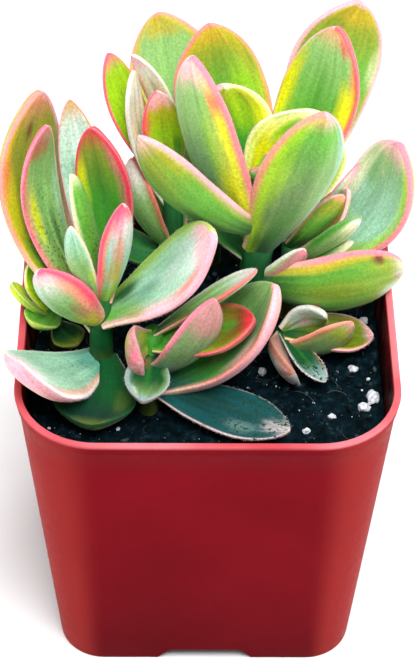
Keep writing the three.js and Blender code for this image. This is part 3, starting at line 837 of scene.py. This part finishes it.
        leaf("k5", 15, 60, 72, 14, 8, 0, 8, 12),
        leaf("k6", 15, 240, 70, 7, 6, 0, 8, 12),
    ]),
}
stemFeet = [(form["foot"][0] * mm, form["foot"][1] * mm, form["radius"] * mm) for form in stems.values()]

stalkForm = {
    "sides": 28, "slice": 1.2, "fewestSlices": 6, "root": 3, "taper": 0.85, "knot": 0.05, "scar": 0.05,
}
leafForm = {
    "segments": 52, "rings": 44, "depth": 0.26, "crown": 0.15, "rimDrop": 0.13,
    "baseShare": 0.4, "widest": 0.6, "riseBend": 1.3, "tipBend": 2.2, "tipRound": 0.7,
    "groove": 0.07, "grooveWide": 0.16, "ripple": 0.012, "pole": 1e-5,
}
hairForm = {
    "radius": 0.018 * mm, "sunk": 0.05 * mm, "margin": 0.42 * mm, "spacing": 0.13 * mm,
    "face": 0.17 * mm, "perArea": 1.1,
}
paintForm = {
    "middleFrom": (0.02, 0.42), "highFrom": (0.55, 0.95), "ribWide": 0.12, "band": 0.9, "edge": 0.92,
    "tip": 0.85, "tipBlur": 0.08, "creamRoot": 0.6, "streak": 0.16, "patch": 0.1, "fuzz": 0.3,
}


def widthShare(along):
    if along <= leafForm["widest"]:
        rise = math.sin(math.pi / 2 * along / leafForm["widest"])
        return mix(leafForm["baseShare"], 1, rise ** leafForm["riseBend"])
    past = (along - leafForm["widest"]) / (1 - leafForm["widest"])
    return max(1 - past ** leafForm["tipBend"], 0) ** leafForm["tipRound"]


def stemPoint(form, height):
    share = max(height, 0) / form["height"]
    x = mix(form["foot"][0], form["top"][0], share)
    y = mix(form["foot"][1], form["top"][1], share)
    return Vector((x * mm, y * mm, mixForm["top"] + height * mm))


class LeafShape:  # where a point of a leaf lies, by its place along and across
    def __init__(self, form, spec, seed):
        turn, rise, twist = (math.radians(spec[key]) for key in ("azimuth", "elevation", "roll"))
        self.spec = spec
        self.root = stemPoint(form, spec["at"])
        self.length = spec["length"] * mm
        self.width = spec["width"] * mm
        east, north = math.cos(turn), math.sin(turn)
        level, steep = math.cos(rise), math.sin(rise)
        self.chord = Vector((level * east, level * north, steep))
        upright = Vector((-steep * east, -steep * north, level))
        self.face = upright * math.cos(twist) + self.chord.cross(upright) * math.sin(twist)
        self.side = self.chord.cross(self.face)
        self.drop = spec["sag"] / 100 * self.length
        self.fold = spec["fold"] / 100
        self.seed = seed

    def at(self, along, across, upper, pole=False):
        share = 0 if pole else widthShare(along)
        wave = noise.noise(Vector((3.2 * along, 0.6 * across, self.seed)))
        halfWidth = self.width / 2 * share * (1 + leafForm["ripple"] * 4 * wave)
        depth = leafForm["depth"] * self.width * math.sqrt(share)
        edge = abs(across)
        lift = self.fold * halfWidth * edge ** 1.6
        if upper:
            dip = math.exp(-(across / leafForm["grooveWide"]) ** 2)
            groove = leafForm["groove"] * dip * smooth(0.02, 0.2, along)
            groove *= 1 - smooth(0.6, 0.95, along)
            height = depth * (leafForm["crown"] * (1 - edge ** 2) - groove)
            height -= leafForm["rimDrop"] * depth * (1 - math.sqrt(max(1 - edge ** 8, 0)))
        else:
            belly = 1 - leafForm["crown"] - leafForm["rimDrop"]
            height = -depth * (leafForm["rimDrop"] + belly * max(1 - edge ** 2.4, 0) ** 0.6)
        ripple = noise.noise(Vector((5 * along, 2 * across, self.seed + 7)))
        height += leafForm["ripple"] * self.width * ripple
        tangent = (self.chord * self.length - self.face * 4 * self.drop * (1 - 2 * along)).normalized()
        out = (self.face - tangent * self.face.dot(tangent)).normalized()
        middle = self.root + self.chord * self.length * along
        middle -= self.face * 4 * self.drop * along * (1 - along)
        return middle + self.side * halfWidth * across + out * (lift + height)


def leafColour(spec, along, across, upper, seed):
    streak = noise.noise(Vector((1.6 * along, 9 * across, seed + 3)))
    patch = noise.noise(Vector((4 * along, 3 * across, seed + 5)))
    low, middle, high = (tints[name] for name in spec["inner" if upper else "outer"])
    place = along + 0.1 * streak
    colour = mix(low, middle, smooth(*paintForm["middleFrom"], place))
    colour = mix(colour, high, smooth(*paintForm["highFrom"], place))
    if upper:
        name, strength = spec["rib"]
        line = math.exp(-((across + 0.06 * streak) / paintForm["ribWide"]) ** 2)
        line *= 1 - smooth(*paintForm["highFrom"], along)
        colour = mix(colour, tints[name], float(strength) * line)
    tipInward = 1.6 * (1 - along) * spec["length"] / spec["width"]  # distances in half widths
    inward = min((1 - abs(across)) * widthShare(along), tipInward)
    edgeName, edgeWide, bandName, bandWide = spec["plus" if across >= 0 else "minus"]
    if spec["under"] and not upper:
        edgeName, edgeWide, bandName, bandWide = spec["under"]
    grow = 0.45 + 0.55 * smooth(0, 0.5, along)
    band = float(bandWide) * grow * (1 + 0.5 * streak + 0.5 * patch)
    band *= 1 - 0.6 * smooth(0.72, 0.97, along)
    edge = float(edgeWide) * grow * (1 + 0.3 * patch + 0.25 * streak)
    edge *= 1 - 0.3 * smooth(0.8, 1, along)
    reach = 1 - smooth(0.2 * band, 1.45 * band, inward)
    colour = mix(colour, tints[bandName], paintForm["band"] * reach)
    for name, atAlong, atAcross, longReach, wideReach, strength in spec["spots"]:
        away = math.hypot((along - float(atAlong)) / float(longReach),
                          (across - float(atAcross)) / float(wideReach))
        colour = mix(colour, tints[name], float(strength) * (1 - smooth(0.35, 1.1, away + 0.4 * streak)))
    tipName, tipReach = spec["tip"]
    start = 1 - float(tipReach) * (1 + 0.4 * patch)
    blur = paintForm["tipBlur"]
    colour = mix(colour, tints[tipName], paintForm["tip"] * smooth(start - blur, start + blur, along))
    paleRoot = paintForm["creamRoot"] * (1 - smooth(0.05, 0.45, along))
    edgeTint = mix(tints[edgeName], tints["cream"], paleRoot)
    reach = 1 - smooth(0.3 * edge, 1.9 * edge, inward)
    colour = mix(colour, edgeTint, paintForm["edge"] * reach)
    colour = colour * (1 + paintForm["streak"] * streak + paintForm["patch"] * patch)
    return mix(colour, tints["blush"], paintForm["fuzz"] * glow(colour) * (1 - smooth(0, 0.05, inward)))


def glow(colour):  # pale fuzz shows on bright parts of a leaf only
    return smooth(0, 0.3, sum(colour) / 3)


def speckShare(spec, along, across):  # dark dots gather at the root, or at the tip where below zero
    if spec["specks"] < 0:
        return -spec["specks"] * smooth(0.2, 0.7, along)
    return spec["specks"] * (1 - smooth(0.35, 1, along)) * (1 - 0.5 * abs(across))


def makeLeafBlank():
    bpy.ops.mesh.primitive_uv_sphere_add(
        segments=leafForm["segments"], ring_count=leafForm["rings"], radius=1, location=(0, 0, 0))
    blank = takePrimitive("leafBlank")
    shadeSmooth(blank)
    blank.data.attributes.new("leafColour", "FLOAT_COLOR", "POINT")
    blank.data.attributes.new("leafPlace", "FLOAT_VECTOR", "POINT")
    return blank


def makeLeaf(blank, shape):
    mesh = blank.data.copy()
    spec = shape.spec
    places, colours, spots = [], [], []
    for vertex in mesh.vertices:
        x, y, z = vertex.co
        ring = math.hypot(x, y)
        pole = ring < leafForm["pole"]
        across = 0 if pole else x / ring
        along = (1 + z) / 2
        upper = y <= 1e-6
        places.append(shape.at(along, across, upper, pole))
        colours += [*leafColour(spec, along, across, upper, shape.seed), speckShare(spec, along, across)]
        spots += [along * shape.length, across * shape.width / 2,
                  0.01 * shape.seed + (0 if upper else 0.005)]
    setPoints(mesh, places)
    mesh.attributes["leafColour"].data.foreach_set("color", colours)
    mesh.attributes["leafPlace"].data.foreach_set("vector", spots)
    return addObject(spec["name"], mesh)


def makeStem(name, form):
    top, root = form["height"], stalkForm["root"]
    bpy.ops.mesh.primitive_cylinder_add(
        vertices=stalkForm["sides"], radius=1, depth=1, end_fill_type="TRIFAN", location=(0, 0, 0))
    piece = takePrimitive(name + "_stalk")
    sliceAcross(max(stalkForm["fewestSlices"], round(top / stalkForm["slice"])))
    colours, places = [], []
    for vertex in piece.data.vertices:
        height = (vertex.co.z + 0.5) * (top + root) - root
        centre = stemPoint(form, height)
        taper = mix(1, stalkForm["taper"], max(height, 0) / top)
        knot = 1 + stalkForm["knot"] * noise.noise(Vector((vertex.co.x, vertex.co.y, 0.8 * height)))
        scar = stalkForm["scar"] * max(0, math.sin(height * 1.7)) ** 6
        radius = form["radius"] * mm * taper * (knot + scar)
        places.append((centre.x + radius * vertex.co.x, centre.y + radius * vertex.co.y, centre.z))
        share = smooth(0, top, height + 2 * noise.noise(Vector((vertex.co.x, vertex.co.y, height))))
        colour = mix(tints["bark"], tints["deep"], smooth(0, 0.3, share))
        # the upper stem takes its skin colour, by default a green painted with light shining through the
        # leaves
        skin = tints[form["skin"]]
        colours += [*mix(colour, skin, 0.8 * smooth(0.4, 0.9, share)), 1]
    setPoints(piece.data, places)
    piece.data.attributes.new("leafColour", "FLOAT_COLOR", "POINT")
    piece.data.attributes["leafColour"].data.foreach_set("color", colours)
    shadeSmooth(piece)
    return piece


def growHairs(name, shapes, draw):  # fine needles along the margins and over both faces
    places, faces, colours = [], [], []

    def addHair(foot, way, length, colour):
        sideways = way.orthogonal().normalized()
        other = way.cross(sideways)
        start = len(places)
        for turn in (0, 120, 240):
            angle = math.radians(turn)
            spread = sideways * math.cos(angle) + other * math.sin(angle)
            places.append(foot - way * hairForm["sunk"] + spread * hairForm["radius"])
        places.append(foot + way * length)
        colours.extend([*colour, 1] * 4)
        faces.extend([(start, start + 1, start + 3), (start + 1, start + 2, start + 3),
                      (start + 2, start, start + 3), (start + 2, start + 1, start)])

    for shape in shapes:
        small = min(1, shape.length / (20 * mm))
        spec = shape.spec
        count = int(shape.length / hairForm["spacing"])
        for across in (-1, 1):
            for step in range(count):
                along = 0.03 + 0.965 * (step + draw.random()) / count
                foot = shape.at(along, across * draw.uniform(0.975, 1), draw.random() < 0.5)
                way = shape.side * across + shape.chord * (0.25 + 1.4 * smooth(0.8, 1, along))
                way += shape.face * draw.uniform(-0.5, 0.5) + shape.chord * draw.uniform(-0.2, 0.3)
                length = hairForm["margin"] * draw.uniform(0.4, 1.1) * (0.6 + 0.4 * small)
                colour = leafColour(spec, along, across, True, shape.seed)
                addHair(foot, way.normalized(), length, mix(colour, tints["white"], 0.45 * glow(colour)))
        total = int(hairForm["perArea"] * shape.length * shape.width / mm ** 2)
        for _ in range(total):
            along = draw.uniform(0.04, 0.97)
            across = draw.uniform(-0.98, 0.98)
            upper = draw.random() < 0.4
            foot = shape.at(along, across, upper)
            if upper:
                way = shape.face + shape.side * 0.3 * across
            else:
                way = -shape.face * (1 - 0.85 * abs(across) ** 3) + shape.side * across
            way = way.normalized() + shape.chord * draw.uniform(0, 0.5)
            colour = leafColour(spec, along, across, upper, shape.seed)
            length = hairForm["face"] * draw.uniform(0.6, 1.2)
            addHair(foot, way.normalized(), length, mix(colour, tints["white"], 0.15 * glow(colour)))
    mesh = bpy.data.meshes.new(name)
    mesh.from_pydata(places, [], faces)
    mesh.attributes.new("leafColour", "FLOAT_COLOR", "POINT")
    mesh.attributes["leafColour"].data.foreach_set("color", colours)
    piece = addObject(name, mesh)
    mesh.materials.append(leafFuzz)
    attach(piece, "root")


def makeLeafyStem(name, form, blank, number):
    shapes = [LeafShape(form, spec, 13 * number + place) for place, spec in enumerate(form["leaves"])]
    stalk = makeStem(name, form)
    stalk.data.materials.append(stemSkin)
    leaves = [makeLeaf(blank, shape) for shape in shapes]
    for piece in leaves:
        piece.data.materials.append(velvetLeaf)
    plant = joinPieces([*leaves, stalk], "leafy_" + name)
    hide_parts(name)
    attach(plant, "root")
    growHairs("fuzz_" + name, shapes, random.Random(50 + number))


makePot()
makeMix()
makeMixGrains()
makeFibres()
print("pot and potting mix made")
leafBlank = makeLeafBlank()
for number, (name, form) in enumerate(stems.items()):
    makeLeafyStem(name, form, leafBlank, number)
bpy.data.objects.remove(leafBlank)
print("leafy stems made:", len(stems))


# Floor, light and camera

studio = {
    "floor": 6, "ambient": 0.36,
    "softboxes": [  # name, place, height of the aim, size and power
        ("keyLight", (0.08, -0.3, 0.8), 0.06, 0.4, 8.5),
        ("backLight", (0.3, 0.45, 0.6), 0.07, 0.4, 1.5),
        ("leftLight", (-0.6, 0.06, 0.14), 0.03, 0.3, 2.2),
        ("rightLight", (0.6, 0.06, 0.14), 0.03, 0.3, 2.2),
    ],
}
view = {
    "lens": 121.7, "sensor": 36, "clip": (0.01, 20), "distance": 384.68 * mm, "elevation": 44.0,
    "azimuth": -0.869, "roll": 0.821, "aim": (0.16 * mm, 0, 57.46 * mm),
}


def makeStage():
    bpy.ops.mesh.primitive_plane_add(size=studio["floor"], location=(0, 0, 0))
    floor = takePrimitive("floor")
    deselectAll()
    floor.data.materials.append(grainyMaterial(
        "paleFloor", 3, 1, [(0.3, 0.86), (0.7, 0.88)], Roughness=0.9, Specular_IOR_Level=0.1))


def addSoftbox(name, place, aimHeight, size, power):
    light = bpy.data.lights.new(name, "AREA")
    light.size = size
    light.energy = power
    lamp = addObject(name, light)
    lamp.location = place
    lamp.rotation_mode = "QUATERNION"
    lamp.rotation_quaternion = (Vector((0, 0, aimHeight)) - Vector(place)).to_track_quat("-Z", "Y")


def makeLight():
    world = bpy.data.worlds.new("studio")
    world.use_nodes = True
    background = world.node_tree.nodes["Background"]
    background.inputs["Color"].default_value = (1, 1, 1, 1)
    background.inputs["Strength"].default_value = studio["ambient"]
    bpy.context.scene.world = world
    for softbox in studio["softboxes"]:
        addSoftbox(*softbox)


def makeCamera():
    camera = addObject("photoView", bpy.data.cameras.new("photoView"))
    camera.data.sensor_width = view["sensor"]
    camera.data.lens = view["lens"]
    camera.data.clip_start, camera.data.clip_end = view["clip"]
    turn = Matrix.Rotation(math.radians(view["azimuth"]), 4, "Z")
    tilt = Matrix.Rotation(math.radians(90 - view["elevation"]), 4, "X")
    roll = Matrix.Rotation(math.radians(view["roll"]), 4, "Z")
    step = Matrix.Translation((0, 0, view["distance"]))
    camera.matrix_world = Matrix.Translation(view["aim"]) @ turn @ tilt @ step @ roll
    bpy.context.scene.camera = camera


makeStage()
makeLight()
makeCamera()
bpy.context.scene.view_settings.view_transform = "Standard"
print("stage, light and camera made")
